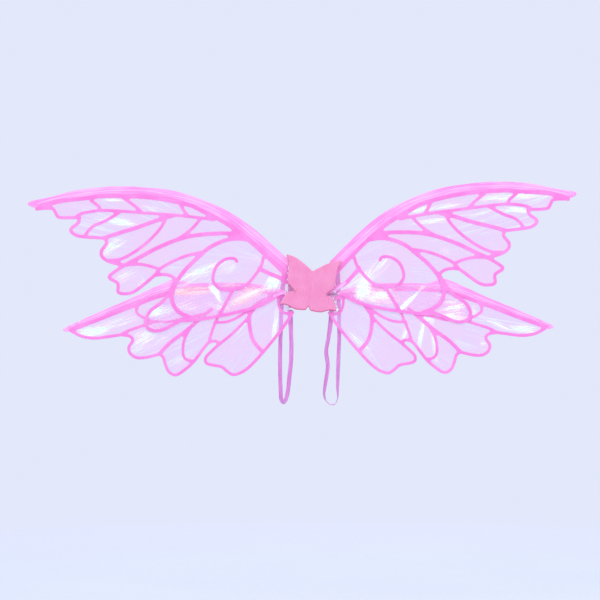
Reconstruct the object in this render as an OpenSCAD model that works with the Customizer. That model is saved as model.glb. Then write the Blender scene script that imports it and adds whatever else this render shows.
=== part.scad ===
// Fairy wings: four film wings on a butterfly hub, with two elastic shoulder straps.
// X is the span, Z is up, and the wearer's back is at y = 0, on the +Y side.
// Flat pieces are drawn face on as (x, z) and stand at a depth in front of y = 0.

/* [Wings] */
// Width of the thin veins
vein_w = 6; // [4:0.5:8]
// Width of the main veins and of the rim below the sleeve
main_vein_w = 8; // [6:0.5:10]
// Width of the edging round the scallops
edge_w = 6.5; // [5:0.5:8]
// Thickness of the cut-out vein fabric
vein_t = 0.8; // [0.5:0.1:1.2]
// Thickness of the iridescent film
film_t = 0.4; // [0.3:0.1:0.6]
// Thickness of the leading-edge sleeve
sleeve_t = 3.2; // [3:0.1:3.4]
// Diameter of the spring-wire spar
spar_d = 2; // [1.6:0.1:2]
// Turn of the upper left wing at rest, down from the mirrored place
upper_left_turn = 3.2; // [0:0.1:4]
// Size of the upper left wing against the right one
upper_left_size = 1.045; // [1:0.005:1.05]
// Size of the lower left wing against the right one
lower_left_size = 1.025; // [1:0.005:1.03]
// Turn of the lower left wing at rest, down from the mirrored place
lower_left_turn = 0.8; // [0:0.1:2]

/* [Hub] */
// Clockwise turn of the butterfly cover
cover_turn = 7; // [0:1:10]
// Thickness of the butterfly cover
cover_t = 3; // [2:0.5:4]
// Forward slope of each half of the cover, from the centre crease
cover_slope = 7; // [7:0.5:10]
// Thickness of the back pad
pad_t = 4; // [4:0.5:5]
// Diameter of the wing rivets
rivet_d = 4; // [3.6:0.1:4]

/* [Straps] */
// Width of the elastic
strap_w = 10; // [8:0.5:10]
// Thickness of the elastic
strap_t = 1; // [0.8:0.1:1.4]

/* [Hidden] */

gap = 0.1;
plate_t = 2;
plate_front = pad_t + plate_t;
yoke_back = plate_front + 1;
yoke_t = 1.6;
layer = 4;
lower_lift = 2.8;
lower_depth = yoke_back + yoke_t + lower_lift;
upper_depth = lower_depth + layer;
cover_lift = 4.1;
cover_back = upper_depth + cover_lift;
back_plate_size = [50, 54];
back_plate_z = -8;
pad_size = 48;
pad_r = 8;
core_x = 9;
core_z = [-36, 22];
yoke_x = [27, 46];
yoke_z = [-34, 30];
hinge_x = 26.2;
tape_z = [-30, 26];
tape_t = 0.8;
root_plate_t = 1.4;
root_plate_r = 8;
rivet_head_r = 4.5;
rivet_head_t = 1;
boss_r = 4.2;
beyond = 50;
root_back = sleeve_t / 2;
socket_r = 2.2;
socket_l = 5;
cap_r = spar_d / 2 + 0.3;
cap_l = 1.5;
round_steps = 4;
wire_steps = 3;
fillet = 2.5;
close = 0.05;
tie_w = 5;
tie_t = 0.6;
tab_t = 1;

// Places of the rivets on the right side
upper_pivot = [33, 22];
lower_pivot = [36, -26];

// How each wing stands: side, turn up, size, shift outward, pivot, depth
upper_right = [1, 0, 1, [0, 0], upper_pivot, upper_depth];
upper_left = [-1, -upper_left_turn, upper_left_size, [4, 2], upper_pivot, upper_depth];
lower_right = [1, 0, 1, [0, 0], lower_pivot, lower_depth];
lower_left = [-1, -lower_left_turn, lower_left_size, [0, 2], lower_pivot, lower_depth];

// Upper wing, right side: top of the sleeve, then the rim vein below it
upper_top = [[38, 49], [46, 55], [98, 107], [148, 146], [194, 170], [248, 191], [300, 200.5],
    [352, 206], [396, 206], [444, 202], [493, 192], [520, 188], [531, 184], [529, 179], [520, 175]];
upper_rim = [[43.5, 16.5], [60, 35], [88, 65], [120, 96], [156, 125], [202, 152], [226, 164], [275, 177],
    [324, 185], [384, 189], [420, 187], [468, 184], [492, 179], [514, 172]];
upper_spar = [[36, 34], [50, 47], [105, 98], [150, 137], [198, 165], [250, 182], [300, 194],
    [352, 198], [398, 198], [446, 194], [494, 186], [514, 181]];
// Edge of the upper wing, scallop by scallop, from the tip to the root
upper_edge = [
    [[514, 172], [486, 171], [479, 162], [472, 153], [442, 151]],
    [[434, 151], [437, 141], [452, 129], [444, 118], [425, 113], [389, 109]],
    [[389, 109], [385, 99], [396, 84], [394, 72], [379, 62], [352, 55]],
    [[352, 55], [372, 44], [384, 33], [368, 21], [368, 4], [352, 0], [336, 4], [314, 19], [297, 32]],
    [[297, 32], [280, 33], [265, 29], [258, 21], [263, 10], [270, -2], [286, -20], [306, -33],
        [316, -46], [319, -58], [314, -69], [299, -74], [282, -71], [265, -63], [250, -57]],
    [[250, -57], [220, -57], [174, -52], [138, -46], [96, -36], [62, -18]],
];
upper_root = [[50, -12], [40, -10], [40, 16], [44, 20]];
// Root plate of the upper wing, from the rivet out to the socket
upper_fan = [[38, 14], [40, 20], [38, 32], [37, 36], [32, 37], [26, 26]];
// Inner veins of the upper wing: 1 for a main vein, then the line
upper_lines = [
    [0, [[178, 132], [202, 137], [250, 145], [312, 153], [358, 159], [396, 162], [430, 158], [442, 151]]],
    [0, [[226, 142], [232, 150], [240, 165]]],
    [0, [[314, 154], [326, 166], [348, 184]]],
    [0, [[394, 162], [396, 170], [410, 182]]],
    [0, [[354, 158], [384, 142], [410, 132], [427, 114]]],
    [1, [[254, 145], [287, 137], [323, 126], [360, 117], [389, 109]]],
    [0, [[268, 141], [282, 120], [304, 99], [333, 79], [360, 67], [384, 66]]],
    [1, [[114, 94], [130, 101], [156, 105], [206, 105], [246, 99], [292, 83], [328, 66], [352, 55]]],
    [0, [[202, 136], [220, 118], [240, 104], [258, 96]]],
    [0, [[352, 55], [323, 55], [300, 49], [286, 43]]],
    [0, [[200, 72], [220, 69], [238, 65], [263, 56], [284, 45], [297, 32]]],
    [1, [[112, 90], [139, 94], [164, 90], [190, 79], [208, 65], [234, 43], [253, 21], [263, 2],
        [266, -14], [262, -30], [249, -44], [224, -55]]],
    [0, [[78, 60], [86, 56], [92, 39], [107, 19], [124, 4], [149, -3], [172, -1], [185, 14],
        [183, 32], [174, 47], [158, 56], [143, 56], [138, 50]]],
    [0, [[148, -4], [162, -26], [178, -52]]],
];
// Root vein of the upper wing, which each side has at its own height
upper_right_root_vein = [1, [[46, -6], [58, -2], [72, 6], [90, 26], [96, 34]]];
upper_left_root_vein = [1, [[46, 5], [57, 14], [76, 23], [96, 34]]];

// Ties at the wing roots
upper_right_tie = [[33, -16.5], [44, -12], [56, -5], [68, 4]];
upper_left_tie = [[33, -17], [44, -15.5], [56, -16], [70, -20]];

// Lower wing, right side
lower_top = [[52, -14], [102, -1], [138, 3], [190, 4], [236, 4], [254, 11], [264, 14],
    [304, -2], [349, -23], [424, -54], [480, -79], [486, -83], [483, -87], [474, -88]];
lower_rim = [[52, -26], [76, -19], [102, -12], [138, -9], [210, -9], [262, -12], [304, -23], [346, -38],
    [420, -66], [470, -84]];
lower_spar = [[39, -20.5], [54, -17.5], [102, -5], [138, -1.5], [190, -1], [236, -1.5], [268, -2],
    [307, -13], [348, -29], [424, -58.5], [448, -69]];
lower_edge = [
    [[470, -86], [449, -97], [423, -101], [395, -98], [373, -95]],
    [[373, -95], [356, -98], [350, -106], [358, -120], [355, -132], [343, -140], [325, -140], [299, -134]],
    [[299, -134], [291, -140], [287, -154], [280, -169], [267, -175], [252, -167], [232, -150],
        [215, -128], [202, -113], [189, -110], [180, -115]],
    [[180, -115], [195, -128], [208, -142], [205, -154], [178, -160], [168, -168], [153, -176],
        [128, -165], [96, -133], [57, -86], [37, -56]],
];
lower_root = [[42, -48], [44, -25]];
lower_fan = [[38, -18], [50, -14], [50, -40], [40, -34]];
lower_lines = [
    [0, [[306, -70], [330, -78], [358, -87], [373, -95]]],
    [1, [[196, -48], [210, -59], [243, -87], [276, -111], [299, -134]]],
    [0, [[220, -66], [238, -85], [250, -109], [252, -135], [244, -146], [230, -148]]],
    [0, [[172, -38], [182, -60], [193, -85], [202, -113]]],
    [1, [[58, -24], [68, -22], [103, -36], [120, -58], [121, -86], [114, -111], [97, -132]]],
    [0, [[106, -40], [128, -69], [157, -97], [180, -115]]],
    [0, [[112, -42], [139, -61], [164, -72], [190, -74]]],
    [0, [[338, -37], [342, -50], [332, -60], [306, -70], [272, -70], [240, -62], [206, -56]]],
    [0, [[61, -24], [65, -33], [60, -52], [49, -58], [38, -56]]],
];

// Butterfly cover, right half, from the top notch round to the bottom notch
cover_half = [
    [[0, 27], [13, 36.5], [27, 45.5], [41, 52], [57, 55]],
    [[57, 55], [53, 46], [49, 33], [48, 10], [46, -3]],
    [[46, -3], [34, -15], [42, -18]],
    [[42, -18], [51, -30], [58, -46]],
    [[58, -46], [46, -45], [36, -48], [25, -52], [6, -51]],
    [[6, -51], [3, -48], [0, -40]],
];

// Strap routes: x, z, depth, and turn of the flat side away from face-on
right_route = [[52, 34, 2.2, 10], [54, 10, 2.8, 20], [55, -30, 3.4, 35], [56, -66, 3.8, 40],
    [56, -114, 4, 40], [54, -160, 4, 40], [53, -200, 4.5, 50], [53, -224, 5.5, 75], [48, -237, 6, 90],
    [38, -238, 6, 90], [29, -228, 5.5, 75], [27, -214, 4.8, 60], [30, -192, 4.2, 45], [34, -162, 4, 40],
    [31, -132, 4, 40], [35, -108, 4, 40], [39, -80, 3.6, 30], [42, -50, 2.2, 10]];
left_route = [[-52, 34, 2.2, -10], [-56, 10, 2.8, -20], [-59, -40, 3.4, -30], [-61, -90, 3.8, -35],
    [-62, -130, 4, -35], [-62, -180, 4.2, -35], [-61, -212, 4.6, -38], [-60, -228, 5, -42],
    [-55, -235, 5.2, -45], [-50, -228, 5, -42], [-46, -212, 4.6, -38], [-43, -184, 4.2, -35],
    [-40, -156, 4, -35], [-39, -121, 4, -35], [-40, -86, 3.8, -30], [-42, -50, 2.2, -10]];
// Ends of the back plate's arms, beside the strap ends
arm_ends = [[41, 30], [41, -42]];
arm_w = 8;

// ---- Curves

// Point at t between p1 and p2 on a smooth curve through four points
function between(p0, p1, p2, p3, t) =
    0.5 * ((2 * p1) + (p2 - p0) * t + (2 * p0 - 5 * p1 + 4 * p2 - p3) * t * t
    + (3 * p1 - p0 - 3 * p2 + p3) * t * t * t);

// Smooth curve through the points of p
function smooth(p, n = round_steps) = let (last = len(p) - 1) concat(
    [for (i = [0:last - 1]) for (k = [0:n - 1])
        between(p[max(i - 1, 0)], p[i], p[i + 1], p[min(i + 2, last)], k / n)],
    [p[last]]);

function joined(lists) = [for (l = lists) for (p = l) p];
function reversed(p) = [for (i = [len(p) - 1:-1:0]) p[i]];
function unit(v) = v / norm(v);
function along(p, i) = unit(p[min(i + 1, len(p) - 1)] - p[max(i - 1, 0)]);
function across(v) = [-v[1], v[0]];

// A point of the right-hand drawing, put where wing w has it
function put(p, w) = let (
        d = (p - w[4]) * w[2],
        c = cos(w[1]),
        s = sin(w[1]),
        q = w[4] + w[3] + [d[0] * c - d[1] * s, d[0] * s + d[1] * c])
    [w[0] * q[0], q[1]];
function put_all(p, w) = [for (q = p) put(q, w)];
function pivot(w) = put(w[4], w);

// ---- Shapes drawn face on

// Stands a face-on drawing up, from depth a to depth b in front of the back face
module upright(a, b) rotate([90, 0, 0]) translate([0, 0, a]) linear_extrude(b - a) children();

// A rod or a hole that points forward, at the face-on place p
module forward(p, a, b, r)
    translate([p[0], -a, p[1]]) rotate([90, 0, 0]) cylinder(r = r, h = b - a, $fn = 48);

// A line of even width with round ends
module stroke(p, w) {
    last = len(p) - 1;
    n = [for (i = [0:last]) across(along(p, i)) * w / 2];
    polygon(concat(p + n, reversed(p - n)));
    for (q = [p[0], p[last]]) translate(q) circle(r = w / 2, $fn = 16);
}

// Outline of a wing's film: rim, scallops and root
function film_outline(rim, edge, root, w) = put_all(
    concat(smooth(rim), joined([for (e = edge) smooth(e)]), root), w);

// All the veins of one wing
module vein_lines(rim, edge, lines, w) {
    stroke(put_all(smooth(rim), w), main_vein_w);
    for (e = edge) stroke(put_all(smooth(e), w), edge_w);
    for (l = lines) stroke(put_all(smooth(l[1]), w), l[0] == 1 ? main_vein_w : vein_w);
}

// ---- Wing pieces

// The sleeve seen face on: the band above the rim vein
module sleeve_band(top, rim, w) difference() {
    polygon(put_all(concat(smooth(top), reversed(smooth(rim))), w));
    stroke(put_all(smooth(rim), w), main_vein_w);
}

// Keeps a face-on drawing clear of the sleeve and of the spar, then rounds its inner corners
module beside_sleeve(top, rim, spar, w)
    offset(r = -fillet, $fn = 24) offset(delta = fillet) difference() {
        children();
        offset(delta = 2 * gap) sleeve_band(top, rim, w);
        stroke(put_all([spar[0], spar[1]], w), 2 * spar_d);
    }

module film(top, rim, spar, edge, root, w) color("Thistle", 0.5)
    upright(w[5] - film_t / 2, w[5] + film_t / 2)
        beside_sleeve(top, rim, spar, w) {
            polygon(film_outline(rim, edge, root, w));
            for (e = edge) stroke(put_all(smooth(e), w), edge_w);
            stroke(put_all(smooth(rim), w), main_vein_w);
        }

module veins(top, rim, spar, edge, lines, w) color("Orchid")
    upright(w[5] + film_t / 2, w[5] + film_t / 2 + vein_t)
        beside_sleeve(top, rim, spar, w) vein_lines(rim, edge, lines, w);

module upper_film(w) film(upper_top, upper_rim, upper_spar, upper_edge, upper_root, w);
module lower_film(w) film(lower_top, lower_rim, lower_spar, lower_edge, lower_root, w);
module upper_veins(root_vein, w)
    veins(upper_top, upper_rim, upper_spar, upper_edge, concat(upper_lines, [root_vein]), w);
module lower_veins(w) veins(lower_top, lower_rim, lower_spar, lower_edge, lower_lines, w);

// Folded band along the leading edge, with a channel for the spar and its cap
module sleeve(top, rim, spar, w) color("Plum") difference() {
    upright(w[5] - sleeve_t / 2, w[5] + sleeve_t / 2)
        offset(delta = -gap) sleeve_band(top, rim, w);
    upright(w[5] - spar_d / 2 - gap, w[5] + spar_d / 2 + gap)
        offset(delta = 0.6) stroke(put_all(smooth(spar), w), spar_d);
    at_tip(spar, w) translate([0, 0, -gap]) cylinder(r = cap_r + gap, h = cap_l + 3 * gap, $fn = 32);
}

// Round wire along a face-on line, at one depth
module wire(p, depth, r) {
    sides = 8;
    n = len(p);
    points = [for (i = [0:n - 1]) let (m = across(along(p, i))) for (k = [0:sides - 1])
        let (a = 360 * k / sides)
        [p[i][0] + r * cos(a) * m[0], -depth + r * sin(a), p[i][1] + r * cos(a) * m[1]]];
    skin = [for (i = [0:n - 2]) for (k = [0:sides - 1]) let (j = (k + 1) % sides)
        each [[i * sides + k, i * sides + j, (i + 1) * sides + j],
            [i * sides + k, (i + 1) * sides + j, (i + 1) * sides + k]]];
    ends = [[for (k = [sides - 1:-1:0]) k], [for (k = [0:sides - 1]) (n - 1) * sides + k]];
    polyhedron(points, concat(skin, ends));
}

module spar(line, w) color("Silver") wire(put_all(smooth(line, wire_steps), w), w[5], spar_d / 2);

// Places a child that lies along a line's end, pointing along +Z before it is placed
module at_end(a, b, depth) {
    v = unit(b - a);
    translate([a[0], -depth, a[1]]) rotate([0, atan2(v[0], v[1]), 0]) children();
}

// Places a child at the tip of a spar, pointing outward
module at_tip(line, w) {
    p = put_all(smooth(line, wire_steps), w);
    end = p[len(p) - 1];
    at_end(end, end + along(p, len(p) - 1), w[5]) children();
}

module spar_cap(line, w) color("DarkGray") at_tip(line, w) cylinder(r = cap_r, h = cap_l, $fn = 32);

// Plate that turns on the rivet; its socket holds the root end of the spar
module root_plate(fan, line, w) color("MistyRose") {
    start = put(line[0], w);
    next = put(line[1], w);
    v = unit(next - start);
    difference() {
        union() {
            upright(w[5] - root_back, w[5] - root_back + root_plate_t)
                offset(delta = close) union() {
                    translate(pivot(w)) circle(r = root_plate_r, $fn = 48);
                    polygon(put_all(fan, w));
                }
            at_end(start - 2 * v, next, w[5]) cylinder(r = socket_r, h = socket_l, $fn = 32);
        }
        at_end(start, next, w[5]) cylinder(r = spar_d / 2 + gap, h = 3 * socket_l, $fn = 32);
        forward(pivot(w), 0, beyond, rivet_d / 2 + close);
        forward(pivot(w), w[5] - root_back + root_plate_t, beyond, rivet_head_r + 0.5);
    }
}

module rivet(w) color("Silver") {
    head = w[5] - root_back + root_plate_t + gap;
    forward(pivot(w), yoke_back, head + gap, rivet_d / 2);
    forward(pivot(w), head, head + rivet_head_t, rivet_head_r);
}

// Strip that ties the wing root through the waist slit of the cover
module root_tie(line, w) color("Pink")
    upright(w[5] + film_t / 2 + vein_t, w[5] + film_t / 2 + vein_t + tie_t)
        offset(delta = close) stroke(put_all(smooth(line), w), tie_w);

// ---- Hub

cover_outline = joined([for (c = cover_half) smooth(c)]);

// Slopes one side forward from the crease; side is 1 or -1
module on_slope(side)
    translate([0, -cover_back, 0]) rotate([0, 0, -side * cover_slope])
        translate([0, cover_back, 0]) children();

module cover_side(side) on_slope(side)
    upright(cover_back, cover_back + cover_t)
        offset(delta = close) polygon([for (q = cover_outline) [side * q[0], q[1]]]);

module cover() color("HotPink") rotate([0, cover_turn, 0]) {
    cover_side(1);
    cover_side(-1);
}

// Stiff block that the cover is glued to
module core() color("LightPink")
    upright(plate_front, cover_back)
        translate([-core_x, core_z[0]]) square([2 * core_x, core_z[1] - core_z[0]]);

// Stiff plate with four arms that reach the strap ends
module back_plate() color("LavenderBlush")
    upright(pad_t, plate_front)
        offset(r = 2, $fn = 32) union() {
            translate([0, back_plate_z]) square(back_plate_size, center = true);
            for (side = [-1, 1]) for (a = arm_ends) stroke([[0, 0], [side * a[0], a[1]]], arm_w - 4);
        }

module back_pad() color("Pink")
    upright(0, pad_t)
        offset(r = pad_r, $fn = 32) square(pad_size - 2 * pad_r, center = true);

// Patch where the end of a strap is sewn down
module strap_tab(side, arm) color("Plum")
    upright(pad_t - tab_t, pad_t)
        translate([side * arm[0], arm[1]]) circle(r = arm_w / 2, $fn = 32);

// Dried drops of glue on the lower right edge of the cover: x, z and radius
glue_drops = [[48, -22.5, 2.6], [52.5, -29, 3], [56.5, -37, 2.6], [58.5, -44, 3.2]];
module glue_dabs() color("White") rotate([0, cover_turn, 0]) difference() {
    on_slope(1) for (g = glue_drops)
        translate([g[0], -cover_back - cover_t / 2, g[1]]) sphere(r = g[2], $fn = 32);
    cover_side(1);
}

// Rectangle beside the middle: its reach outward, and its bottom and top
module bar(side, x, z)
    translate([side * (x[0] + x[1]) / 2, (z[0] + z[1]) / 2])
        square([x[1] - x[0], z[1] - z[0]], center = true);

// Fabric tape that hinges a yoke to the core
module root_tape(side) color("Pink")
    upright(yoke_back + (yoke_t - tape_t) / 2, yoke_back + (yoke_t + tape_t) / 2)
        bar(side, [core_x, hinge_x], tape_z);

// Bar that carries the two wings of one side
module yoke(side, low, high) color("MistyRose") {
    upper_boss = upper_depth - root_back - gap;
    lower_boss = lower_depth - root_back - gap;
    difference() {
        union() {
            upright(yoke_back, yoke_back + yoke_t) bar(side, yoke_x, yoke_z);
            for (b = [[high, upper_boss], [low, lower_boss]])
                forward(b[0], yoke_back + yoke_t / 2, b[1], boss_r);
        }
        for (p = [low, high]) forward(p, 0, beyond, rivet_d / 2);
    }
}

// ---- Straps

// Flat band along a route of x, z, depth and turn
module band(route) {
    p = smooth(route, 3);
    n = len(p);
    corners = [[1, 1], [-1, 1], [-1, -1], [1, -1]];
    points = [for (i = [0:n - 1]) let (
            m = across(along([for (q = p) [q[0], q[1]]], i)),
            c = cos(p[i][3]),
            s = sin(p[i][3]),
            wide = [m[0] * c, s, m[1] * c] * strap_w / 2,
            thick = [-m[0] * s, c, -m[1] * s] * strap_t / 2)
        for (k = corners) [p[i][0], -p[i][2], p[i][1]] + k[0] * wide + k[1] * thick];
    skin = [for (i = [0:n - 2]) for (k = [0:3]) let (j = (k + 1) % 4)
        each [[i * 4 + k, i * 4 + j, (i + 1) * 4 + j], [i * 4 + k, (i + 1) * 4 + j, (i + 1) * 4 + k]]];
    polyhedron(points, concat(skin, [[3, 2, 1, 0], [for (k = [0:3]) (n - 1) * 4 + k]]));
}

module strap(route) color("MediumOrchid") band(route);

// ---- Nodes

cover();
core();
back_plate();
back_pad();
glue_dabs();
strap_tab(-1, arm_ends[0]);  // upper_left_strap_tab
strap_tab(1, arm_ends[0]);  // upper_right_strap_tab
strap_tab(-1, arm_ends[1]);  // lower_left_strap_tab
strap_tab(1, arm_ends[1]);  // lower_right_strap_tab
root_tape(-1);  // left_root_tape
root_tape(1);  // right_root_tape
yoke(-1, pivot(lower_left), pivot(upper_left));  // left_yoke
yoke(1, pivot(lower_right), pivot(upper_right));  // right_yoke
rivet(upper_left);  // upper_left_rivet
rivet(upper_right);  // upper_right_rivet
rivet(lower_left);  // lower_left_rivet
rivet(lower_right);  // lower_right_rivet
root_plate(upper_fan, upper_spar, upper_left);  // upper_left_root_plate
root_plate(upper_fan, upper_spar, upper_right);  // upper_right_root_plate
root_plate(lower_fan, lower_spar, lower_left);  // lower_left_root_plate
root_plate(lower_fan, lower_spar, lower_right);  // lower_right_root_plate
root_tie(upper_left_tie, upper_left);  // upper_left_root_tie
root_tie(upper_right_tie, upper_right);  // upper_right_root_tie
upper_film(upper_left);  // upper_left_film
upper_film(upper_right);  // upper_right_film
lower_film(lower_left);  // lower_left_film
lower_film(lower_right);  // lower_right_film
upper_veins(upper_left_root_vein, upper_left);  // upper_left_veins
upper_veins(upper_right_root_vein, upper_right);  // upper_right_veins
lower_veins(lower_left);  // lower_left_veins
lower_veins(lower_right);  // lower_right_veins
sleeve(upper_top, upper_rim, upper_spar, upper_left);  // upper_left_sleeve
sleeve(upper_top, upper_rim, upper_spar, upper_right);  // upper_right_sleeve
sleeve(lower_top, lower_rim, lower_spar, lower_left);  // lower_left_sleeve
sleeve(lower_top, lower_rim, lower_spar, lower_right);  // lower_right_sleeve
spar(upper_spar, upper_left);  // upper_left_spar
spar(upper_spar, upper_right);  // upper_right_spar
spar(lower_spar, lower_left);  // lower_left_spar
spar(lower_spar, lower_right);  // lower_right_spar
spar_cap(upper_spar, upper_left);  // upper_left_spar_cap
spar_cap(upper_spar, upper_right);  // upper_right_spar_cap
spar_cap(lower_spar, lower_left);  // lower_left_spar_cap
spar_cap(lower_spar, lower_right);  // lower_right_spar_cap
strap(left_route);  // left_strap
strap(right_route);  // right_strap
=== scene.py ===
import math

import bmesh
import bpy
from mathutils import Matrix, Vector, kdtree, noise


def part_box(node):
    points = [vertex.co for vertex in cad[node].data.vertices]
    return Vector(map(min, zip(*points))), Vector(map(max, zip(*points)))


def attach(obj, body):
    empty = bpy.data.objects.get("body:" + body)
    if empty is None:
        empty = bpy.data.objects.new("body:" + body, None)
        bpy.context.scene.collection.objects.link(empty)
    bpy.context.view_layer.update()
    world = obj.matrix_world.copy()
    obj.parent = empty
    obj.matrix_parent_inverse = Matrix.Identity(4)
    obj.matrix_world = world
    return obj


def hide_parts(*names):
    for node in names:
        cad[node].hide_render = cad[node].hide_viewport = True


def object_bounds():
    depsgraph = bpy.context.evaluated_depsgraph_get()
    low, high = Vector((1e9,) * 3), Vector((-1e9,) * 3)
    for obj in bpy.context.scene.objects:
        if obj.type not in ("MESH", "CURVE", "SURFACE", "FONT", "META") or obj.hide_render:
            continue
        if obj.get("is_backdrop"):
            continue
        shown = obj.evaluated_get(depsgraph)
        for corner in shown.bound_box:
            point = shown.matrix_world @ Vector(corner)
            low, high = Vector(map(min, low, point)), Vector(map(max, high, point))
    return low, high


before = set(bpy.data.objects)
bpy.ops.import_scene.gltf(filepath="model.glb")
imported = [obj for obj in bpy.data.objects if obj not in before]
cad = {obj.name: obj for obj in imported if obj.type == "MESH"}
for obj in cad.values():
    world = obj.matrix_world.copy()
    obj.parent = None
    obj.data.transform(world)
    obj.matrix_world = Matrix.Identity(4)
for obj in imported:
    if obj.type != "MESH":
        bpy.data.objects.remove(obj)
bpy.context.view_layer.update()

scene = bpy.context.scene
scene.view_settings.view_transform = "Standard"
sides = ("left", "right")
wings = ("upper_left", "upper_right", "lower_left", "lower_right")
toFront = Vector((0, -1, 0))


# Camera: long lens, square on to the wings
cameraView = {"distance": 4.5, "width": 1.2, "aim": (-0.022, -0.015, -0.030), "sensor": 36.0}


def makeCamera(v):
    data = bpy.data.cameras.new("camera")
    data.sensor_width = v["sensor"]
    data.lens = v["sensor"] * v["distance"] / v["width"]
    data.clip_end = 50
    cam = bpy.data.objects.new("camera", data)
    cam.location = Vector(v["aim"]) + toFront * v["distance"]
    cam.rotation_euler = (math.pi / 2, 0, 0)
    scene.collection.objects.link(cam)
    scene.camera = cam


makeCamera(cameraView)


# Shader kit: sums on sockets are written as sums
class Wire:
    def __init__(self, shader, socket):
        self.shader = shader
        self.socket = socket

    def __add__(self, other):
        return self.shader.sum("ADD", self, other)

    def __sub__(self, other):
        return self.shader.sum("SUBTRACT", self, other)

    def __rsub__(self, other):
        return self.shader.sum("SUBTRACT", other, self)

    def __mul__(self, other):
        return self.shader.sum("MULTIPLY", self, other)

    def __truediv__(self, other):
        return self.shader.sum("DIVIDE", self, other)

    def __pow__(self, other):
        return self.shader.sum("POWER", self, other)

    __radd__ = __add__
    __rmul__ = __mul__


class Shader:
    def __init__(self, name, fixed):
        self.material = bpy.data.materials.new(name)
        self.material.use_nodes = True
        self.tree = self.material.node_tree
        self.bsdf = self.tree.nodes["Principled BSDF"]
        for socket, value in fixed.items():
            self.bsdf.inputs[socket].default_value = value
        self.coords = self.node("ShaderNodeTexCoord", out="Object")

    def node(self, kind, settings={}, inputs={}, out=0):
        made = self.tree.nodes.new(kind)
        for key, value in settings.items():
            if key == "stops":
                self.fillRamp(made.color_ramp, value)
            else:
                setattr(made, key, value)
        for key, value in inputs.items():
            self.feed(made.inputs[key], value)
        return Wire(self, made.outputs[out])

    def feed(self, socket, value):
        if isinstance(value, Wire):
            self.tree.links.new(value.socket, socket)
        elif hasattr(value, "__len__") and len(value) == 3 and socket.type == "RGBA":
            socket.default_value = (*value, 1)
        else:
            socket.default_value = value

    def fillRamp(self, ramp, stops):
        while len(ramp.elements) < len(stops):
            ramp.elements.new(0.5)
        for element, (place, colour) in zip(ramp.elements, stops):
            element.position = place
            element.color = (*colour, 1) if hasattr(colour, "__len__") else (colour, colour, colour, 1)

    def sum(self, operation, a, b):
        return self.node("ShaderNodeMath", {"operation": operation}, {0: a, 1: b})

    def scaled(self, vector, scale, turn=(0, 0, 0), shift=(0, 0, 0)):
        return self.node("ShaderNodeMapping", {}, {"Vector": vector, "Scale": scale, "Rotation": turn, "Location": shift})

    def grain(self, vector, scale, detail=3, rough=0.5, warp=0, out="Fac"):
        return self.node("ShaderNodeTexNoise", {}, {"Vector": vector, "Scale": scale, "Detail": detail,
                                                    "Roughness": rough, "Distortion": warp}, out)

    def ramp(self, value, stops):
        return self.node("ShaderNodeValToRGB", {"stops": stops}, {"Fac": value})

    def step(self, value, low, high):
        return self.node("ShaderNodeMapRange", {"interpolation_type": "SMOOTHSTEP"},
                         {"Value": value, "From Min": low, "From Max": high})

    def blend(self, amount, a, b):
        made = self.tree.nodes.new("ShaderNodeMix")
        made.data_type = "RGBA"
        self.feed(made.inputs["Factor"], amount)
        self.feed(made.inputs[6], a)
        self.feed(made.inputs[7], b)
        return Wire(self, made.outputs[2])

    def split(self, vector, axis):
        return self.node("ShaderNodeSeparateXYZ", {}, {0: vector}, axis)

    def waves(self, value, count):
        return self.sum("SINE", value * (count * 2 * math.pi), 0) * 0.5 + 0.5

    def bump(self, height, distance, strength=1.0):
        return self.node("ShaderNodeBump", {}, {"Height": height, "Distance": distance, "Strength": strength})

    def attribute(self, name, out="Fac"):
        return self.node("ShaderNodeAttribute", {"attribute_name": name}, {}, out)

    def painted_glow(self, colour, strength):
        # painted glow: the part gives off light in its own colour, standing in for light that comes through the thin
        # cloth and film from behind
        self.bsdf.inputs["Emission Strength"].default_value = strength
        self.feed(self.bsdf.inputs["Emission Color"], colour)

    def use(self, **sockets):
        names = {"colour": "Base Color", "rough": "Roughness", "alpha": "Alpha", "normal": "Normal",
                 "coat": "Coat Weight"}
        for key, value in sockets.items():
            self.feed(self.bsdf.inputs[names[key]], value)
        return self.material


def tint(code):
    # sRGB hex to the linear colour that a shader takes
    parts = [int(code[i:i + 2], 16) / 255 for i in (0, 2, 4)]
    return tuple(p / 12.92 if p <= 0.04045 else ((p + 0.055) / 1.055) ** 2.4 for p in parts)


# Materials
# mint and white are painted highlight colours, and the ramp of pinks is the painted peach sheen
filmLook = {"body": tint("EFA9E0"), "violet": tint("E4ABEA"), "mint_highlight": tint("DDF6EE"), "white": tint("FFFFFC"),
            "painted_peach_sheen": [(0.36, tint("FF9FC8")), (0.5, tint("FFE6E0")), (0.62, tint("FFC4BC"))], "clear": 0.22, "painted_glow": 0.06}


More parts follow.
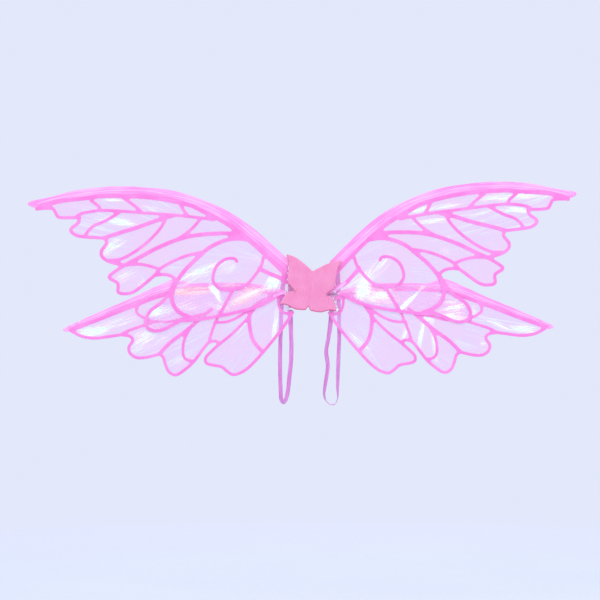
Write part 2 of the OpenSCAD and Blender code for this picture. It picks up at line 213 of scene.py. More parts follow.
def filmMaterial(v, name, seed):
    s = Shader(name, {"IOR": 1.45, "Coat Roughness": 0.08, "Thin Film Thickness": 380.0, "Thin Film IOR": 1.4,
                      "Specular IOR Level": 0.5})
    flow = s.attribute("flow", "Vector")
    fold = s.attribute("fold", "Vector")
    shine = s.attribute("shine")
    warm = s.attribute("warm")
    # short broken lines along each fold, and long faint ones along the wing; these noises place the painted highlight
    # streaks and the bumps
    fibre = s.grain(s.scaled(fold, (14, 330, 1)), 1.0, 4, 0.65, 0.4)
    ridge = s.grain(s.scaled(fold, (12, 140, 1)), 1.0, 3, 0.6, 0.6)
    crumple = s.grain(s.scaled(fold, (90, 150, 1)), 1.0, 5, 0.7, 1.8)
    thread = s.grain(s.scaled(flow, (6, 240, 1), shift=(seed, seed, 0)), 1.0, 4, 0.65, 0.2)
    cloud = s.grain(s.scaled(s.coords, (1, 1, 1), shift=(seed, 0, seed)), 13.0, 3, 0.55, 0.6)
    # painted highlight: bright white and mint streaks on the folds that catch the light, clearer and glossier there
    light = s.step(shine * 0.55 + fibre * 1.1 + ridge * 0.5 + crumple * warm * 0.5, 0.93, 1.42) * s.step(shine, 0.02, 0.5)
    # painted highlight: faint mint streaks along the wing
    faint_highlight = s.step(thread, 0.48, 0.64) * s.step(cloud, 0.34, 0.62)
    # painted peach iridescent sheen on some folds
    painted_peach_sheen = s.step(warm * 0.6 + crumple * 0.9, 0.66, 1.02) * s.step(warm, 0.03, 0.4)
    base = s.blend(s.step(cloud, 0.35, 0.65), v["body"], v["violet"])
    base = s.blend(faint_highlight * 0.7, base, v["mint_highlight"])
    # painted peach sheen colour from the ridge noise
    base = s.blend(painted_peach_sheen * 0.8, base, s.ramp(ridge, v["painted_peach_sheen"]))
    # painted highlight colour, between mint and white
    base = s.blend(light, base, s.blend(s.step(crumple, 0.42, 0.62), v["mint_highlight"], v["white"]))
    alpha = light * 0.5 + faint_highlight * 0.22 + painted_peach_sheen * 0.34 + v["clear"]
    # painted glow in the film's own colour
    s.painted_glow(base, v["painted_glow"])
    dents = thread * 0.5 + ridge * shine * 0.8 + crumple * warm * 0.6
    return s.use(colour=base, alpha=alpha, rough=0.30 - light * 0.12, coat=light * 0.6 + 0.2,
                 normal=s.bump(dents, 0.0012, 0.5))


satinLook = {"pink": tint("E886CB"), "deep": tint("E372C2"), "pale": tint("EFA6D9"), "weave": 500, "painted_glow": 0.21}


def satinMaterial(v, name):
    s = Shader(name, {"Sheen Weight": 0.35, "Sheen Roughness": 0.4, "Sheen Tint": (1, 0.8, 1, 1),
                      "Specular IOR Level": 0.35})
    loft = s.attribute("loft")
    patch = s.grain(s.coords, 26.0, 4, 0.6)
    fibre = s.grain(s.scaled(s.coords, (1, 1, 3)), 420.0, 3, 0.7)
    weave = s.waves(s.split(s.coords, "X") + s.split(s.coords, "Z"), v["weave"])
    cross = s.waves(s.split(s.coords, "X") - s.split(s.coords, "Z"), v["weave"])
    base = s.blend(s.step(patch, 0.35, 0.68), v["deep"], v["pink"])
    base = s.blend((1 - loft) * 0.45, base, v["pale"])
    base = s.blend(s.step(fibre, 0.55, 0.8) * 0.35, base, v["pale"])
    height = weave * cross * 0.5 + fibre * 0.6
    # painted glow in the vein satin's colour
    s.painted_glow(base, v["painted_glow"])
    return s.use(colour=base, rough=0.55 - fibre * 0.15, normal=s.bump(height, 0.00025, 0.6))


# white serves the real stitching and also the painted highlights on folds and over the wire; deep serves tone patches
# and painted shade
sleeveLook = {"pale": tint("F1A6DC"), "deep": tint("E883CC"), "white": tint("F8CCEA"), "stitchGap": 0.004, "painted_glow": 0.19}


def sleeveMaterial(v):
    s = Shader("sleeve_satin", {"Sheen Weight": 0.4, "Sheen Roughness": 0.35, "Sheen Tint": (1, 0.85, 1, 1),
                                "Specular IOR Level": 0.4})
    run = s.attribute("run", "Vector")
    along = s.split(run, "X")
    across = s.split(run, "Y")
    folds = s.grain(s.scaled(run, (14, 420, 1)), 1.0, 4, 0.65, 0.4)
    threads = s.grain(s.scaled(run, (60, 1800, 1)), 1.0, 3, 0.6)
    patch = s.grain(s.scaled(run, (10, 60, 1)), 1.0, 3)
    loft = s.attribute("loft")
    stitch = s.step(s.waves(along, 1 / v["stitchGap"]), 0.35, 0.6) * (1 - s.step(loft, 0.12, 0.34))
    base = s.blend(s.step(patch, 0.35, 0.65), v["pale"], v["deep"])
    # painted highlight: pale streaks along the folds of the satin
    base = s.blend(s.step(folds, 0.5, 0.68) * 0.6, base, v["white"])
    # painted shade: darker towards the low edges of the puffed band
    base = s.blend((1 - s.step(loft, 0.05, 0.4)) * 0.55, base, v["deep"])
    base = s.blend(stitch * 0.35, base, v["white"])
    offWire = s.node("ShaderNodeMath", {"operation": "ABSOLUTE"}, {0: across})
    # painted highlight on the ridge over the wire, painted shade in the hollows beside it
    wire_ridge_highlight = 1 - s.step(offWire, 0.0004, 0.0016)
    hollow_shade = s.step(offWire, 0.0012, 0.002) * (1 - s.step(offWire, 0.002, 0.0034))
    base = s.blend(hollow_shade * 0.6, base, v["deep"])
    base = s.blend(wire_ridge_highlight * 0.3, base, v["white"])
    height = folds * 0.8 + threads * 0.3 - stitch * 0.3 + wire_ridge_highlight * 0.8 - hollow_shade * 0.4
    # painted glow in the sleeve satin's colour
    s.painted_glow(base, v["painted_glow"])
    return s.use(colour=base, rough=0.5 - folds * 0.12, normal=s.bump(height, 0.0006, 0.55))


# edge colour is painted shade for the downward-facing edges; shade is painted shade for the rib valleys and the crease;
# light serves tone patches and the painted rim highlight
coverLook = {"face": tint("F493BF"), "light": tint("FAA2C9"), "shade": tint("E27FAE"), "edge": tint("C8446E"),
             "ribs": 330}


def coverMaterial(v):
    s = Shader("cover_fabric", {"Sheen Weight": 0.3, "Sheen Roughness": 0.5, "Sheen Tint": (1, 0.75, 0.85, 1),
                                "Specular IOR Level": 0.25})
    turned = s.scaled(s.coords, (1, 1, 1), turn=(0, math.radians(-7), 0))
    across = s.split(turned, "X")
    rib = s.waves(across + s.grain(s.coords, 60.0, 2) * 0.0008, v["ribs"])
    knot = s.waves(s.split(turned, "Z"), v["ribs"] * 1.7)
    fuzz = s.grain(s.coords, 900.0, 3, 0.7)
    patch = s.grain(s.coords, 38.0, 4, 0.6)
    crease = 1 - s.step(s.node("ShaderNodeMath", {"operation": "ABSOLUTE"}, {0: across}), 0.0002, 0.0014)
    base = s.blend(s.step(patch, 0.35, 0.7), v["face"], v["light"])
    # painted shade in the valleys between the ribs
    base = s.blend((1 - rib) * 0.65, base, v["shade"])
    base = s.blend(s.step(fuzz, 0.6, 0.85) * 0.3, base, v["light"])
    # painted highlight along the rounded rim
    base = s.blend(s.attribute("rim") * 0.5, base, v["light"])
    # painted shade along the centre crease
    base = s.blend(crease * 0.35, base, v["shade"])
    # painted shade on the downward-facing edges
    base = s.blend(s.attribute("cut"), base, v["edge"])
    height = rib * 0.7 + knot * 0.25 + fuzz * 0.35 - crease * 0.5
    return s.use(colour=base, rough=0.8 - patch * 0.1, normal=s.bump(height, 0.00045, 0.8))


elasticLook = {"violet": tint("E284D2"), "deep": tint("C866BE"), "pale": tint("F2ACE2"), "pick": 0.0011}


def elasticMaterial(v):
    s = Shader("woven_elastic", {"Sheen Weight": 0.3, "Sheen Roughness": 0.4, "Specular IOR Level": 0.35})
    run = s.attribute("run", "Vector")
    along = s.split(run, "X")
    across = s.split(run, "Y")
    picks = s.waves(along, 1 / v["pick"])
    cords = s.waves(across, 900)
    wear = s.grain(s.scaled(run, (30, 200, 1)), 1.0, 4, 0.6)
    fuzz = s.grain(s.coords, 1100.0, 2, 0.7)
    base = s.blend(s.step(wear, 0.35, 0.7), v["violet"], v["pale"])
    base = s.blend((1 - picks * cords) * 0.35, base, v["deep"])
    height = picks * 0.5 + cords * 0.7 + fuzz * 0.3
    return s.use(colour=base, rough=0.7 - wear * 0.1, normal=s.bump(height, 0.0003, 0.7))


clothLook = {
    "tie_satin": {"base": tint("FFAEEF"), "dark": tint("FF8AE2"), "light": tint("FFD4F8"), "threads": 700, "rough": 0.5},
    "pad_knit": {"base": tint("F7A9D6"), "dark": tint("E485BE"), "light": tint("FFC9E8"), "threads": 420, "rough": 0.85},
    "tab_weave": {"base": tint("D472D8"), "dark": tint("B854C0"), "light": tint("E9A0EC"), "threads": 560, "rough": 0.75},
}


def clothMaterial(name, v):
    s = Shader(name, {"Sheen Weight": 0.35, "Sheen Roughness": 0.45, "Specular IOR Level": 0.3})
    warp = s.waves(s.split(s.coords, "X"), v["threads"])
    weft = s.waves(s.split(s.coords, "Z"), v["threads"])
    patch = s.grain(s.coords, 45.0, 4, 0.6)
    fuzz = s.grain(s.coords, 1000.0, 2, 0.7)
    base = s.blend(s.step(patch, 0.35, 0.7), v["base"], v["light"])
    base = s.blend((1 - warp * weft) * 0.3, base, v["dark"])
    height = warp * 0.5 + weft * 0.5 + fuzz * 0.5
    return s.use(colour=base, rough=v["rough"] - patch * 0.1, normal=s.bump(height, 0.0003, 0.6))


hardLook = {
    "board": {"base": tint("EBB2E0"), "dark": tint("DC9AD2"), "metal": 0.0, "rough": 0.6, "grain": 160.0},
    "foam_block": {"base": tint("F6BFD4"), "dark": tint("E8A2BE"), "metal": 0.0, "rough": 0.9, "grain": 700.0},
    "rivet_metal": {"base": tint("D9D9DE"), "dark": tint("AEB0B8"), "metal": 1.0, "rough": 0.3, "grain": 300.0},
    "spring_wire": {"base": tint("C9CACF"), "dark": tint("92949C"), "metal": 1.0, "rough": 0.35, "grain": 500.0},
    "cap_plastic": {"base": tint("F2F2F5"), "dark": tint("DADAE0"), "metal": 0.0, "rough": 0.35, "grain": 200.0},
    "glue": {"base": tint("F3ECE6"), "dark": tint("D3C6C4"), "metal": 0.0, "rough": 0.22, "grain": 520.0},
}


def hardMaterial(name, v):
    s = Shader(name, {"Metallic": v["metal"], "Specular IOR Level": 0.5})
    patch = s.grain(s.coords, v["grain"] / 4, 4, 0.6)
    fine = s.grain(s.coords, v["grain"], 3, 0.7)
    base = s.blend(s.step(patch, 0.35, 0.7), v["base"], v["dark"])
    return s.use(colour=base, rough=v["rough"] + fine * 0.15, normal=s.bump(fine, 0.0002, 0.5))


veinSatin = satinMaterial(satinLook, "vein_satin")
sleeveSatin = sleeveMaterial(sleeveLook)
coverFabric = coverMaterial(coverLook)
wovenElastic = elasticMaterial(elasticLook)
cloths = {name: clothMaterial(name, v) for name, v in clothLook.items()}
hards = {name: hardMaterial(name, v) for name, v in hardLook.items()}
print("materials made")


# Mesh helpers
def cadCopy(node):
    bm = bmesh.new()
    bm.from_mesh(cad[node].data)
    bmesh.ops.remove_doubles(bm, verts=bm.verts, dist=1e-6)
    return bm


def toPiece(name, bm, material, body, replaced):
    mesh = bpy.data.meshes.new(name)
    bm.to_mesh(mesh)
    bm.free()
    mesh.shade_smooth()
    piece = bpy.data.objects.new(name, mesh)
    scene.collection.objects.link(piece)
    mesh.materials.append(material)
    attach(piece, body)
    if replaced:
        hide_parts(*replaced)
    return piece


def applied(bm, name, kind, settings):
    # runs one modifier on a bmesh and gives the result back as a bmesh
    mesh = bpy.data.meshes.new(name)
    bm.to_mesh(mesh)
    bm.free()
    holder = bpy.data.objects.new(name, mesh)
    scene.collection.objects.link(holder)
    modifier = holder.modifiers.new(kind, kind)
    for key, value in settings.items():
        setattr(modifier, key, value)
    made = bmesh.new()
    made.from_object(holder, bpy.context.evaluated_depsgraph_get())
    bpy.data.objects.remove(holder)
    bpy.data.meshes.remove(mesh)
    return made


def centreLine(node, width):
    # the middle of a thin swept tube, as evenly ordered points from the hub outwards
    bm = cadCopy(node)
    start = min(bm.verts, key=lambda v: abs(v.co.x))
    layer = {v for v in bm.verts if (v.co - start.co).length < width}
    seen = set(layer)
    line = []
    while layer:
        line.append(sum((v.co for v in layer), Vector()) / len(layer))
        layer = {e.other_vert(v) for v in layer for e in v.link_edges} - seen
        seen |= layer
    bm.free()
    return line


def lengthsAlong(line):
    total = [0.0]
    for a, b in zip(line, line[1:]):
        total.append(total[-1] + (b - a).length)
    return total


def nearestOn(line, lengths, tree, co):
    # length along the line, and signed distance across it
    index = tree.find(co)[1]
    best = None
    for i in (index - 1, index):
        if 0 <= i < len(line) - 1:
            a, b = line[i], line[i + 1]
            t = max(0.0, min(1.0, (co - a).dot(b - a) / (b - a).length_squared))
            p = a.lerp(b, t)
            gap = (co - p).length
            if best is None or gap < best[0]:
                side = (b - a).cross(co - p).y
                best = (gap, lengths[i] + t * (b - a).length, math.copysign(gap, side))
    return best[1], best[2]


def spread(line):
    tree = kdtree.KDTree(len(line))
    for i, p in enumerate(line):
        tree.insert(p, i)
    tree.balance()
    return tree


def frontArea(node):
    return sum(f.area for f in cad[node].data.polygons if f.normal.y < -0.3)


def paintFloat(piece, name, values):
    layer = piece.data.attributes.new(name, "FLOAT", "POINT")
    layer.data.foreach_set("value", values)


def paintVector(piece, name, pairs):
    layer = piece.data.attributes.new(name, "FLOAT_VECTOR", "POINT")
    layer.data.foreach_set("vector", [c for a, b in pairs for c in (a, b, 0.0)])


# Wings
wingShape = {"ripple": 0.0009, "rippleSize": 26.0, "stiffNear": 0.012, "stiffFar": 0.06, "cell": 0.003,
             "filmThickness": 0.00025, "veinVoxel": 0.0011, "veinLoft": 2.4, "veinFlatten": 0.62,
             "sleeveVoxel": 0.0013, "veinSwell": 0.0003, "sleeveSwell": 0.0006, "tapeWidth": 0.010}


class Wing:
    def __init__(self, name, v):
        self.name = name
        self.v = v
        self.body = name + "_wing"
        low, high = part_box(name + "_film")
        self.depth = (low.y + high.y) / 2
        self.spar = centreLine(name + "_spar", 0.0025)
        self.lengths = lengthsAlong(self.spar)
        self.tree = spread(self.spar)
        self.root = self.spar[0]
        self.seed = 3.7 * wings.index(name)

    def lift(self, co):
        # how far the loose sheet stands forward or back here; stiff near the spar
        gap = self.tree.find(co)[2]
        v = self.v
        slack = max(0.0, min(1.0, (gap - v["stiffNear"]) / (v["stiffFar"] - v["stiffNear"])))
        away = co - self.root
        reach = away.length
        swing = math.atan2(away.z, abs(away.x))
        flow = Vector((reach * 7, swing * 6.0, self.seed))
        wave = noise.noise(flow) * 0.8 + noise.noise(Vector((co.x, self.seed, co.z)) * v["rippleSize"]) * 0.6
        return max(-1.0, min(1.0, wave * 1.6)) * v["ripple"] * slack

    def flowAt(self, co):
        away = co - self.root
        return (away.length + self.seed, math.atan2(away.z, abs(away.x)) * 0.3)


# Folds in the films, where highlights and a peach sheen are painted: middle x and z in mm, half length, half width,
# turn, how bright the painted highlight is, how strong the painted peach sheen is
folds = {
    "upper_right": [
        (265, 157, 42, 5, 12, 0.9, 0), (366, 175, 32, 6, 6, 0.8, 0), (440, 178, 44, 6, 5, 1.0, 0),
        (414, 150, 24, 6, -5, 1.0, 0), (335, 143, 46, 4, 8, 0.7, 0), (245, 127, 38, 5, 5, 1.0, 0),
        (214, 150, 15, 4, 22, 0.8, 0), (360, 90, 28, 11, -30, 0.45, 0), (270, 68, 11, 13, 80, 0.6, 0),
        (138, 36, 36, 12, 50, 0.85, 0), (104, -2, 26, 9, 72, 0.6, 0.3), (314, 18, 22, 3, -50, 0.8, 0),
        (280, 42, 18, 5, -30, 0.4, 0), (92, 68, 18, 4, 45, 0.7, 0), (196, -32, 28, 3.5, 44, 0.8, 0.9),
        (135, -24, 44, 15, -12, 0.3, 0.9), (284, -46, 26, 18, 10, 0.5, 0.8), (286, -68, 26, 5, -6, 0.2, 1.2),
        (80, 8, 20, 9, 35, 0.7, 0.2), (220, -4, 40, 4, -4, 0.1, 0.7), (160, -6, 40, 7, 34, 0.3, 0.2),
        (232, -58, 30, 8, -12, 0.25, 0.2), (258, -22, 30, 5, 14, 0.3, 0.4), (330, -60, 20, 7, 10, 0.3, 0.3)],
    "lower_right": [
        (365, -74, 42, 6, -22, 0.8, 0), (430, -88, 24, 7, -8, 1.1, 0), (322, -50, 12, 8, 0, 0.7, 0.2),
        (220, -102, 38, 4.5, 80, 1.0, 0), (246, -112, 34, 4, 96, 1.0, 0), (238, -68, 15, 5, 0, 1.0, 0),
        (189, -98, 16, 5, 70, 0.9, 0), (94, -111, 24, 6, -42, 0.8, 0), (140, -138, 44, 20, -20, 0.35, 0),
        (290, -104, 44, 16, -4, 0.3, 0), (98, -72, 20, 8, 60, 0.4, 0), (262, -150, 14, 12, -40, 0.3, 0),
        (150, -70, 34, 6, -24, 0.4, 0.1), (345, -120, 8, 16, 0, 0.5, 0)],
    "upper_left": [
        (-385, 127, 38, 7, -5, 1.1, 0), (-398, 76, 28, 13, 32, 0.9, 0), (-310, 152, 34, 6, -8, 0.7, 0),
        (-400, 170, 28, 2.5, 0, 1.0, 0), (-375, 16, 26, 11, 30, 0.8, 0), (-325, -8, 22, 12, -50, 0.9, 0.2),
        (-226, 24, 44, 12, 30, 0.8, 0.1), (-165, 38, 22, 13, 40, 0.7, 0), (-116, 55, 24, 10, -25, 0.45, 0),
        (-74, 46, 20, 9, -15, 0.7, 0), (-74, 8, 16, 12, 62, 1.0, 0.2), (-236, -12, 44, 7, 5, 0.1, 1.2),
        (-190, -14, 18, 6, -60, 1.0, 0.2), (-130, -24, 44, 11, 24, 0.3, 1.0), (-318, -52, 22, 11, 5, 0.9, 0.4),
        (-290, 128, 20, 5, 20, 0.4, 0), (-440, 155, 30, 3, -4, 0.5, 0), (-240, -45, 30, 10, 10, 0.4, 0.4),
        (-252, -34, 40, 8, 22, 0.25, 0.2), (-182, -46, 26, 7, -22, 0.25, 0.2), (-276, 4, 20, 8, 60, 0.3, 0.1),
        (-150, -2, 30, 6, -12, 0.25, 0.5)],
    "lower_left": [
        (-446, -94, 22, 8, 6, 1.1, 0), (-396, -80, 46, 11, 20, 0.75, 0), (-325, -106, 44, 22, 30, 0.85, 0),
        (-131, -72, 30, 5, 52, 0.9, 0), (-72, -88, 40, 5, 84, 1.1, 0), (-260, -152, 20, 8, 20, 0.7, 0),
        (-152, -132, 40, 18, 18, 0.3, 0), (-225, -110, 26, 12, 60, 0.3, 0), (-96, -110, 22, 10, 60, 0.35, 0),
        (-182, -62, 26, 6, 20, 0.4, 0.2)],
}


def foldAt(rows, co):
    # painted highlight and painted peach sheen strength here, and the place along and across the strongest fold
    shine = warm = best = 0.0
    place = (0.0, 0.0)
    for i, (x, z, long, wide, turn, bright, painted_peach_sheen) in enumerate(rows):
        dx, dz = co.x - x / 1000, co.z - z / 1000
        c, s = math.cos(math.radians(turn)), math.sin(math.radians(turn))
        u, v = dx * c + dz * s, dz * c - dx * s
        reach = math.exp(-(u * 800 / long) ** 2 - (v * 800 / wide) ** 2)
        shine += bright * reach
        warm += painted_peach_sheen * reach
        if reach > best:
            best = reach
            place = (u + i * 0.37, v + i * 0.11)
    return min(shine, 1.0), min(warm, 1.0), place


def cutGrid(bm, low, high, cell):
    for axis in (0, 2):
        normal = Vector((axis == 0, 0, axis == 2))
        at = low[axis] + cell / 2
        while at < high[axis]:
            bmesh.ops.bisect_plane(bm, geom=bm.verts[:] + bm.edges[:] + bm.faces[:], plane_co=normal * at,
                                   plane_no=normal, dist=1e-7)
            at += cell


def makeFilm(w):
    v = w.v
    bm = cadCopy(w.name + "_film")
    bmesh.ops.delete(bm, geom=[f for f in bm.faces if f.normal.y > -0.9], context="FACES")
    bmesh.ops.dissolve_limit(bm, angle_limit=0.02, verts=bm.verts, edges=bm.edges)
    low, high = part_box(w.name + "_film")
    cutGrid(bm, low, high, v["cell"] * (1))
    bmesh.ops.triangulate(bm, faces=bm.faces)
    for vert in bm.verts:
        vert.co.y = w.depth + w.lift(vert.co)
    bmesh.ops.solidify(bm, geom=bm.faces[:], thickness=v["filmThickness"])
    bmesh.ops.recalc_face_normals(bm, faces=bm.faces)
    piece = toPiece(w.name + "_film_sheet", bm, filmMaterial(filmLook, w.name + "_film_gloss", w.seed),
                    w.body, [w.name + "_film"])
    # clear film lets the light through to the wing behind it
    piece.visible_shadow = False
    points = [p.co.copy() for p in piece.data.vertices]
    paintVector(piece, "flow", [w.flowAt(p) for p in points])
    # painted highlight and painted peach sheen strengths for each point
    fold_highlights, peach_sheen_strengths, places = zip(*(foldAt(folds[w.name], p) for p in points))
    paintVector(piece, "fold", places)
    paintFloat(piece, "shine", fold_highlights)
    paintFloat(piece, "warm", peach_sheen_strengths)
    return piece


def puffed(node, voxel, loft, flatten, smoothing, swell):
    # a flat cut-out as a soft, round-edged one; gives the bmesh and each point's height over its edge
    bm = cadCopy(node)
    low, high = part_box(node)
    middle = (low.y + high.y) / 2
    half = (high.y - low.y) / 2
    for vert in bm.verts:
        vert.co.y = middle + (vert.co.y - middle) * loft
    bm = applied(bm, node, "REMESH", {"mode": "VOXEL", "voxel_size": voxel, "use_smooth_shade": True})
    for _ in range(smoothing):
        bmesh.ops.smooth_vert(bm, verts=bm.verts, factor=0.5, use_axis_x=True, use_axis_y=True, use_axis_z=True)
    bm.normal_update()
    top = max(abs(vert.co.y - middle) for vert in bm.verts)
    lofts = []
    for vert in bm.verts:
        vert.co += Vector((vert.normal.x, 0, vert.normal.z)) * swell
        rise = (vert.co.y - middle) / top
        lofts.append(min(1.0, abs(rise) * 1.1))
        vert.co.y = middle + rise * half * flatten
    return bm, lofts


def makeVeins(w):
    v = w.v
    voxel = v["veinVoxel"] * 1
    bm, lofts = puffed(w.name + "_veins", voxel, v["veinLoft"], v["veinFlatten"] * 2, 3, v["veinSwell"])
    for vert in bm.verts:
        vert.co.y += w.lift(vert.co)
    piece = toPiece(w.name + "_vein_fabric", bm, veinSatin, w.body, [w.name + "_veins"])
    paintFloat(piece, "loft", lofts)
    # the network's front area over the tape width is worked out here, and the value is not used
    area = frontArea(w.name + "_veins")
    area / v["tapeWidth"]
    return piece


def makeSleeve(w):
    v = w.v
    voxel = v["sleeveVoxel"] * 1
    bm, lofts = puffed(w.name + "_sleeve", voxel, 1.0, 1.0, 4, v["sleeveSwell"])
    piece = toPiece(w.name + "_sleeve_satin", bm, sleeveSatin, w.body, [w.name + "_sleeve"])
    paintFloat(piece, "loft", lofts)
    flat = [Vector((p.x, w.depth, p.z)) for p in w.spar]
    tree = spread(flat)
    runs = [nearestOn(flat, w.lengths, tree, Vector((p.co.x, w.depth, p.co.z))) for p in piece.data.vertices]
    paintVector(piece, "run", runs)
    area = frontArea(w.name + "_sleeve")
    area / w.lengths[-1]
    return piece


for wingName in wings:
    wing = Wing(wingName, wingShape)
    makeFilm(wing)
    makeVeins(wing)
    makeSleeve(wing)
    print(wingName, "made")


# Cover: soft butterfly plate
coverShape = {"voxel": 0.0011, "smoothing": 3, "swell": 0.0004, "wrinkle": 0.0005, "edgePaintWidth": 0.0022,
              "slits": ((0.0335, -0.0195), (-0.0335, -0.0115)), "slitReach": 0.014, "slitFolds": 7}


def makeCover(v):
    bm = cadCopy("cover")
    voxel = v["voxel"] * 1
    bm = applied(bm, "cover", "REMESH", {"mode": "VOXEL", "voxel_size": voxel, "use_smooth_shade": True})
    for _ in range(v["smoothing"]):
        bmesh.ops.smooth_vert(bm, verts=bm.verts, factor=0.5, use_axis_x=True, use_axis_y=True, use_axis_z=True)
    bm.normal_update()
    side = [vert for vert in bm.verts if abs(vert.normal.y) < 0.6]
    tree = kdtree.KDTree(len(side))
    for i, vert in enumerate(side):
        tree.insert((vert.co.x, 0, vert.co.z), i)
    tree.balance()
    under_edge_shades, rim_highlights = [], []
    for vert in bm.verts:
        i, gap = tree.find((vert.co.x, 0, vert.co.z))[1:]
        # painted shade on the downward-facing edges and a painted highlight along the whole rim
        down = max(0.0, -side[i].normal.z) ** 0.7
        under_edge_shades.append(max(0.0, 1 - gap / v["edgePaintWidth"]) ** 0.6 * down)
        rim_highlights.append(max(0.0, 1 - gap / v["edgePaintWidth"] / 1.4))
    for vert in bm.verts:
        vert.co += vert.normal * v["swell"]
        if vert.normal.y < -0.5:
            fold = noise.noise(vert.co * 45) * v["wrinkle"]
            for x, z in v["slits"]:
                dx, dz = vert.co.x - x, vert.co.z - z
                reach = math.exp(-math.hypot(dx, dz) / v["slitReach"] * 2)
                fold += math.sin(math.atan2(dz, dx) * v["slitFolds"]) * reach * 0.0016
            vert.co.y += fold
    piece = toPiece("cover_shell", bm, coverFabric, "hub", ["cover"])
    # masks for the cover's painted edge shade and painted rim highlight
    paintFloat(piece, "cut", under_edge_shades)
    paintFloat(piece, "rim", rim_highlights)
    return piece


glueShape = {"voxel": 0.0005, "lump": 0.0026, "lumpSize": 260, "rough": 0.0006, "roughSize": 900}


def makeGlue(v):
    bm = cadCopy("glue_dabs")
    bm = applied(bm, "glue", "REMESH", {"mode": "VOXEL", "voxel_size": v["voxel"], "use_smooth_shade": True})
    bm.normal_update()
    for vert in bm.verts:
        lump = (noise.noise(vert.co * v["lumpSize"]) - 0.25) * v["lump"]
        vert.co += vert.normal * (lump + noise.noise(vert.co * v["roughSize"]) * v["rough"])
    return toPiece("glue_lumps", bm, hards["glue"], "hub", ["glue_dabs"])


makeGlue(glueShape)
makeCover(coverShape)
print("cover made")


# Straps: flat woven bands on the CAD route
strapShape = {"width": 0.010, "thickness": 0.0011, "rows": 8, "perRing": 3, "sag": 0.0006}


def ringFrames(node):
    # middle and width direction at each ring of a swept band, from its top end on
    bm = cadCopy(node)
    start = max(bm.verts, key=lambda p: p.co.z)
    near = [p for p in bm.verts if abs(p.co.z - start.co.z) < 0.004]
    layer = set(sorted(near, key=lambda p: (p.co - start.co).length)[:4])
    seen = set(layer)
    frames = []
    while len(layer) == 4:
        points = [p.co.copy() for p in layer]
        far = sorted(points, key=lambda p: (p - points[0]).length)
        wide = (far[2] - far[0] + far[3] - far[1]).normalized()
        if frames and wide.dot(frames[-1][1]) < 0:
            wide = -wide
        frames.append((sum(points, Vector()) / 4, wide))
        layer = {e.other_vert(p) for p in layer for e in p.link_edges} - seen
        seen |= layer
    bm.free()
    return frames


def curveAt(points, t):
    # smooth curve through the points; t counts them
    i = min(int(t), len(points) - 2)
    a, b, c, d = (points[max(0, min(len(points) - 1, i + k))] for k in (-1, 0, 1, 2))
    f = t - i
    return 0.5 * (2 * b + (c - a) * f + (2 * a - 5 * b + 4 * c - d) * f * f + (3 * b - a - 3 * c + d) * f ** 3)


def makeStrap(side, v):
    node = side + "_strap"
    frames = ringFrames(node)
    line, wides = [f[0] for f in frames], [f[1] for f in frames]
    lengths = lengthsAlong(line)
    count = len(line) - 1
    bm = bmesh.new()
    bmesh.ops.create_grid(bm, x_segments=v["rows"], y_segments=count * v["perRing"], size=1)
    run = bm.verts.layers.float_vector.new("run")
    for vert in bm.verts:
        out, t = vert.co.x, (vert.co.y + 1) / 2 * count
        middle, wide = curveAt(line, t), curveAt(wides, t).normalized()
        i = min(int(t), count - 1)
        flat = (line[i + 1] - line[i]).cross(wide).normalized()
        wave = noise.noise(Vector((t * 0.5, 0, out))) * v["sag"] * min(1, t, count - t)
        vert[run] = (lengths[i] + (t - i) * (lengths[i + 1] - lengths[i]), out * v["width"] / 2, 0)
        vert.co = middle + wide * out * v["width"] / 2 + flat * (wave + v["thickness"] / 2)
    bmesh.ops.solidify(bm, geom=bm.faces[:], thickness=v["thickness"])
    bmesh.ops.recalc_face_normals(bm, faces=bm.faces)
    piece = toPiece(side + "_elastic", bm, wovenElastic, side + "_arm_loop", [node])
    print(side, "strap", round(lengths[-1], 4), "m,", len(frames), "rings")


for side in sides:
    makeStrap(side, strapShape)


# Back pad: a small stuffed square with a sewn rim
padShape = {"cell": 0.001, "soft": 0.011, "rim": 0.42, "wrinkle": 0.0007, "wrinkleSize": 130, "seam": 0.0012,
            "piping": 0.0006}


def makePad(v):
    bm = cadCopy("back_pad")
    low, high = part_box("back_pad")
    middle = (low + high) / 2
    bm = applied(bm, "pad", "REMESH", {"mode": "VOXEL", "voxel_size": v["cell"], "use_smooth_shade": True})
    for _ in range(3):
        bmesh.ops.smooth_vert(bm, verts=bm.verts, factor=0.5, use_axis_x=True, use_axis_y=True, use_axis_z=True)
    bm.normal_update()
    for vert in bm.verts:
        inside = max(0.0, min(high.x - vert.co.x, vert.co.x - low.x, high.z - vert.co.z, vert.co.z - low.z))
        full = 1 - (1 - min(1.0, inside / v["soft"])) ** 2
        wrinkle = noise.noise(vert.co * v["wrinkleSize"]) * v["wrinkle"] * (1.4 - full)
        rise = vert.co.y - middle.y
        vert.co.y = middle.y + rise * (v["rim"] + (1 - v["rim"]) * full) + wrinkle * math.copysign(1, rise)
        if inside < v["seam"]:
            vert.co += Vector((vert.normal.x, 0, vert.normal.z)) * v["piping"]
    piece = toPiece("padded_back", bm, cloths["pad_knit"], "hub", ["back_pad"])
    return piece


makePad(padShape)


# Small fabric strips: sewn tabs, root tapes and root ties
stripShape = {"cell": 0.0015, "ripple": 0.00025, "rippleSize": 260, "least": 0.010}


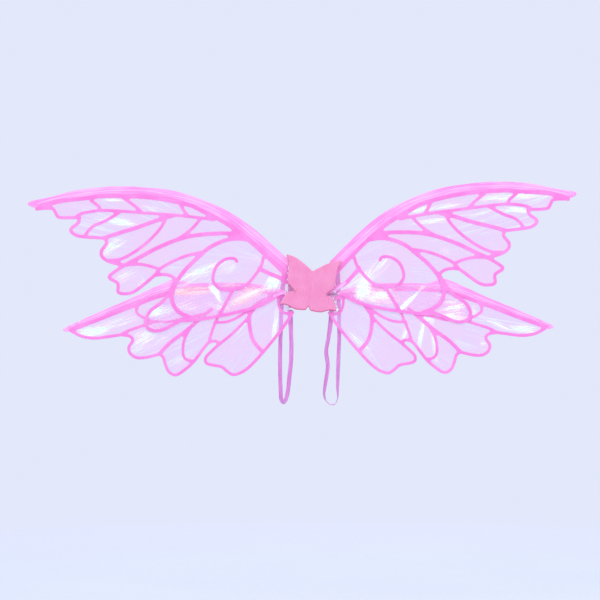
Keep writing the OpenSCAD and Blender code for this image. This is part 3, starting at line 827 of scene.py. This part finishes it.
def makeStrip(node, name, material, body, v):
    low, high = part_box(node)
    thick = high.y - low.y
    bm = cadCopy(node)
    bmesh.ops.delete(bm, geom=[f for f in bm.faces if f.normal.y > -0.9], context="FACES")
    bmesh.ops.dissolve_limit(bm, angle_limit=0.02, verts=bm.verts, edges=bm.edges)
    cutGrid(bm, low, high, v["cell"])
    bmesh.ops.triangulate(bm, faces=bm.faces)
    for vert in bm.verts:
        vert.co.y += noise.noise(vert.co * v["rippleSize"]) * v["ripple"]
    bmesh.ops.solidify(bm, geom=bm.faces[:], thickness=thick)
    bmesh.ops.recalc_face_normals(bm, faces=bm.faces)
    piece = toPiece(name, bm, cloths[material], body, [node])
    area = frontArea(node)
    length = max(v["least"], high.x - low.x, high.z - low.z)
    width = max(v["least"], area / length)
    return piece


for side in sides:
    makeStrip(side + "_root_tape", side + "_hinge_tape", "tie_satin", "hub", stripShape)
    makeStrip("upper_" + side + "_root_tie", "upper_" + side + "_tie_satin", "tie_satin",
              "upper_" + side + "_wing", stripShape)
    for level in ("upper_", "lower_"):
        makeStrip(level + side + "_strap_tab", level + side + "_sewn_tab", "tab_weave", "hub", stripShape)
print("pad and strips made")


# Pieces that keep their CAD shape
plainFinish = {"core": ("foam_block", hards), "back_plate": ("board", hards), "back_pad": ("pad_knit", cloths),
               "glue_dabs": ("glue", hards)}


def finishCad():
    for node, obj in cad.items():
        if obj.hide_render:
            continue
        if node in plainFinish:
            name, kit = plainFinish[node]
        elif node.endswith("strap_tab"):
            name, kit = "tab_weave", cloths
        elif node.endswith(("root_tape", "root_tie")):
            name, kit = "tie_satin", cloths
        elif node.endswith(("yoke", "root_plate")):
            name, kit = "board", hards
        elif node.endswith("rivet"):
            name, kit = "rivet_metal", hards
        elif node.endswith("spar_cap"):
            name, kit = "cap_plastic", hards
        elif node.endswith("spar"):
            name, kit = "spring_wire", hards
        elif node.endswith("strap"):
            name, kit = "tab_weave", cloths
        obj.data.materials.clear()
        obj.data.materials.append(kit[name])


finishCad()


# Stage and light
stageLook = {"sky": tint("E3E8FB"), "floor": tint("DDE3F8"), "drop": 0.45, "radius": 2.6, "strength": 1.0}


def makeStage(v):
    low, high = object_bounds()
    bm = bmesh.new()
    bmesh.ops.create_circle(bm, cap_ends=True, segments=96, radius=v["radius"])
    bmesh.ops.translate(bm, verts=bm.verts, vec=(0, 0, low.z - v["drop"]))
    mesh = bpy.data.meshes.new("floor")
    bm.to_mesh(mesh)
    bm.free()
    floor = bpy.data.objects.new("floor", mesh)
    scene.collection.objects.link(floor)
    # the floor fades out towards its rim, so that no horizon shows
    s = Shader("floor_paper", {"Specular IOR Level": 0.1})
    out = s.node("ShaderNodeVectorMath", {"operation": "LENGTH"}, {0: s.scaled(s.coords, (1, 1, 0))}, "Value")
    base = s.blend(s.grain(s.coords, 3.0), v["floor"], v["sky"])
    mesh.materials.append(s.use(colour=base, rough=0.95, alpha=1 - s.step(out, 0.25 * v["radius"], v["radius"])))
    floor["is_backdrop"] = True
    world = bpy.data.worlds.new("sky")
    world.use_nodes = True
    world.node_tree.nodes["Background"].inputs["Color"].default_value = (*v["sky"], 1)
    world.node_tree.nodes["Background"].inputs["Strength"].default_value = v["strength"]
    scene.world = world


lamps = {"key": {"place": (-1.6, -3.2, 2.4), "size": 2.4, "power": 46, "colour": (1, 0.95, 0.88)},
         "fill": {"place": (2.2, -2.8, 0.8), "size": 2.6, "power": 30, "colour": (1, 0.95, 0.90)},
         "back": {"place": (0.4, 2.6, 2.0), "size": 2.4, "power": 22, "colour": (1, 0.98, 0.96)}}


def makeLamp(name, v):
    data = bpy.data.lights.new(name, "AREA")
    data.size = v["size"]
    data.energy = v["power"]
    data.color = v["colour"]
    lamp = bpy.data.objects.new(name, data)
    lamp.location = v["place"]
    lamp.rotation_euler = (-Vector(v["place"])).to_track_quat("-Z", "Y").to_euler()
    scene.collection.objects.link(lamp)


makeStage(stageLook)
for lampName, lampLook in lamps.items():
    makeLamp(lampName, lampLook)
print("stage made")
